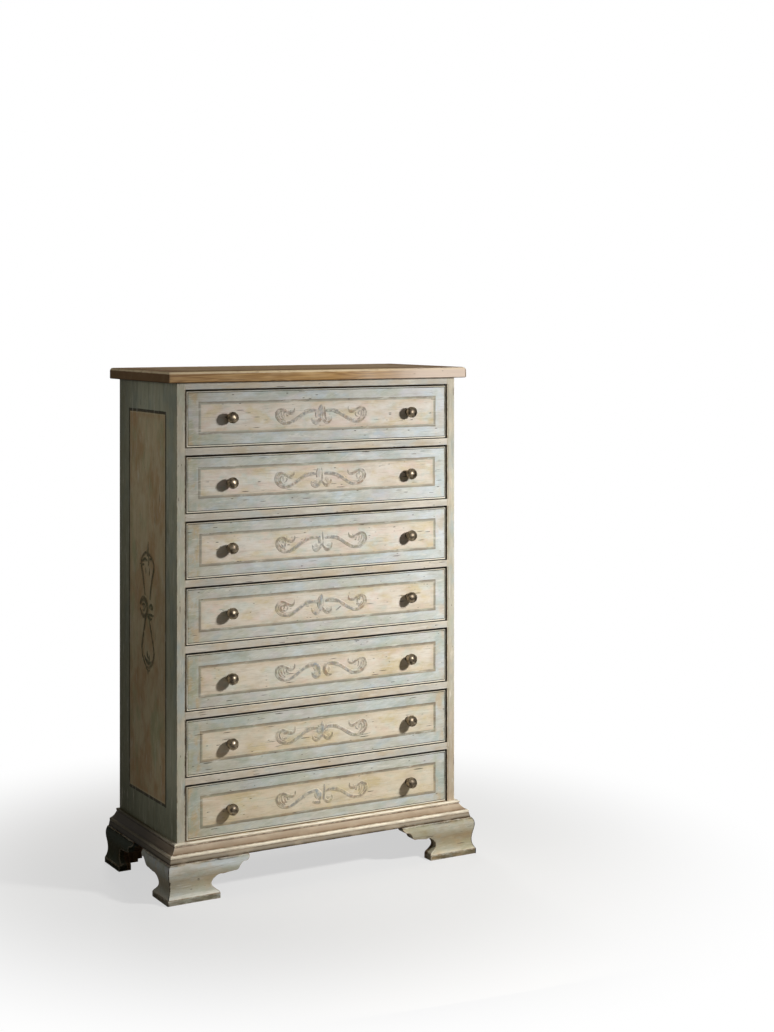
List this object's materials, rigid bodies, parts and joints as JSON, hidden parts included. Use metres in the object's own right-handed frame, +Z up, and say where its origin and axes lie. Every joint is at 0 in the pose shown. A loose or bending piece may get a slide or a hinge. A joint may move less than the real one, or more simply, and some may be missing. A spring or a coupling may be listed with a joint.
{
  "type": "chest of drawers",
  "caption": "Tall narrow painted wooden chest of drawers with ogee bracket feet, moulded base, overhanging top and round knobs; every drawer slides out.",
  "frame": {"origin": "on the floor at the middle of the chest's footprint", "axes": "+Z up, front faces -Y, +X to the right when facing the front"},
  "size_m": [0.8548, 0.4054, 1.25],
  "materials": {
    "painted_front": "antiqued blue-grey and cream paint, satin",
    "painted_side": "antiqued blue-grey and cream paint, satin",
    "blue_grey_paint": "rubbed blue-grey paint, waxed satin",
    "cream_paint": "rubbed cream paint, satin",
    "waxed_brown_wood": "stained and waxed, rubbed pale on the edges",
    "bare_wood": "planed, unfinished",
    "plywood": "sanded, unfinished",
    "antique_brass": "antiqued, dark in the hollows"
  },
  "bodies": {
    "carcass": {"back_panel": "plywood", "bottom_board": "bare_wood", "bottom_rail": "bare_wood", "divider_rail_1": "cream_paint", "divider_rail_2": "cream_paint", "divider_rail_3": "cream_paint", "divider_rail_4": "cream_paint", "divider_rail_5": "cream_paint", "divider_rail_6": "cream_paint", "drawer_stops": "bare_wood", "foot_glue_blocks": "bare_wood", "front_base_moulding": "waxed_brown_wood", "front_left_foot": "blue_grey_paint", "front_right_foot": "blue_grey_paint", "left_base_moulding": "waxed_brown_wood", "left_runners": "bare_wood", "left_side": "painted_side", "rear_left_foot": "blue_grey_paint", "rear_right_foot": "blue_grey_paint", "right_base_moulding": "waxed_brown_wood", "right_runners": "bare_wood", "right_side": "painted_side", "top_back_rail": "bare_wood", "top_board": "waxed_brown_wood", "top_rail": "cream_paint"},
    "drawer_1": {"drawer_1_back": "bare_wood", "drawer_1_bottom": "plywood", "drawer_1_front": "painted_front", "drawer_1_knobs": "antique_brass", "drawer_1_sides": "bare_wood"},
    "drawer_2": {"drawer_2_back": "bare_wood", "drawer_2_bottom": "plywood", "drawer_2_front": "painted_front", "drawer_2_knobs": "antique_brass", "drawer_2_sides": "bare_wood"},
    "drawer_3": {"drawer_3_back": "bare_wood", "drawer_3_bottom": "plywood", "drawer_3_front": "painted_front", "drawer_3_knobs": "antique_brass", "drawer_3_sides": "bare_wood"},
    "drawer_4": {"drawer_4_back": "bare_wood", "drawer_4_bottom": "plywood", "drawer_4_front": "painted_front", "drawer_4_knobs": "antique_brass", "drawer_4_sides": "bare_wood"},
    "drawer_5": {"drawer_5_back": "bare_wood", "drawer_5_bottom": "plywood", "drawer_5_front": "painted_front", "drawer_5_knobs": "antique_brass", "drawer_5_sides": "bare_wood"},
    "drawer_6": {"drawer_6_back": "bare_wood", "drawer_6_bottom": "plywood", "drawer_6_front": "painted_front", "drawer_6_knobs": "antique_brass", "drawer_6_sides": "bare_wood"},
    "drawer_7": {"drawer_7_back": "bare_wood", "drawer_7_bottom": "plywood", "drawer_7_front": "painted_front", "drawer_7_knobs": "antique_brass", "drawer_7_sides": "bare_wood"}
  },
  "joints": [
    {"name": "drawer_1_slide", "type": "slide", "parent": "carcass", "child": "drawer_1", "axis": [0, -1, 0], "range_m": [0, 0.26]},
    {"name": "drawer_2_slide", "type": "slide", "parent": "carcass", "child": "drawer_2", "axis": [0, -1, 0], "range_m": [0, 0.26]},
    {"name": "drawer_3_slide", "type": "slide", "parent": "carcass", "child": "drawer_3", "axis": [0, -1, 0], "range_m": [0, 0.26]},
    {"name": "drawer_4_slide", "type": "slide", "parent": "carcass", "child": "drawer_4", "axis": [0, -1, 0], "range_m": [0, 0.26]},
    {"name": "drawer_5_slide", "type": "slide", "parent": "carcass", "child": "drawer_5", "axis": [0, -1, 0], "range_m": [0, 0.26]},
    {"name": "drawer_6_slide", "type": "slide", "parent": "carcass", "child": "drawer_6", "axis": [0, -1, 0], "range_m": [0, 0.26]},
    {"name": "drawer_7_slide", "type": "slide", "parent": "carcass", "child": "drawer_7", "axis": [0, -1, 0], "range_m": [0, 0.26]}
  ]
}
